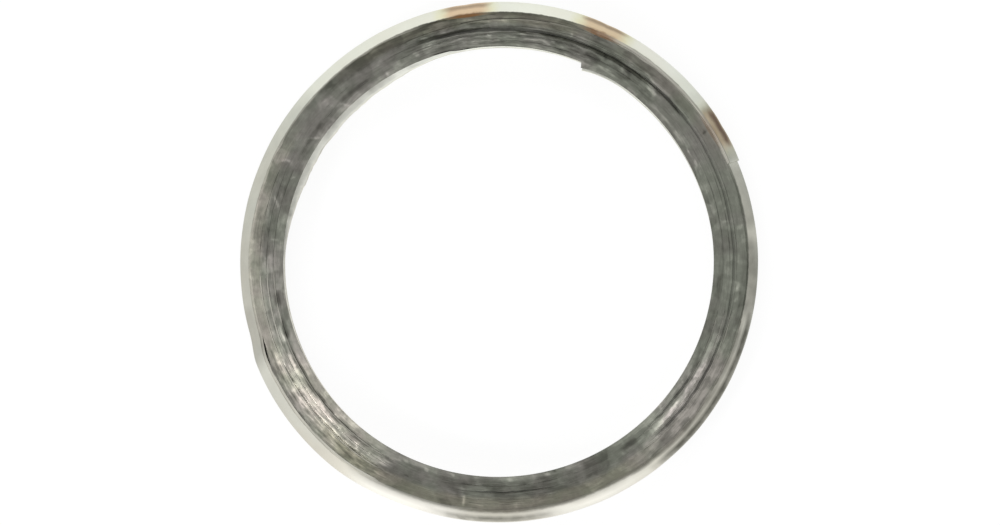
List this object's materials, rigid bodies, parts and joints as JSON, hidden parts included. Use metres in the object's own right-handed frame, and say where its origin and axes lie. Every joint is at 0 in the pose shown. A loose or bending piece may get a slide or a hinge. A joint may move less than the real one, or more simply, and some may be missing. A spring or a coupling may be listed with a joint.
{
  "type": "spiral-wound exhaust gasket",
  "caption": "Flat ring gasket for an exhaust pipe joint, wound from V-section steel strip with graphite pressed between the turns.",
  "frame": {"origin": "on the ring's axis, level with its bottom face", "axes": "+Z along the ring's axis, away from the surface it lies on; +X to the right and +Y to the top of the picture"},
  "size_m": [0.0672, 0.0674, 0.0053],
  "materials": {
    "strip_steel": "bright rolled stainless strip, dull and smeared with graphite on its edges, brown heat marks at three spot welds",
    "graphite": "pressed flexible graphite, dark grey with a dull metallic sheen, flaked along its edges"
  },
  "bodies": {
    "root": {"winding_strip": "strip_steel", "graphite_filler": "graphite"}
  },
  "joints": []
}
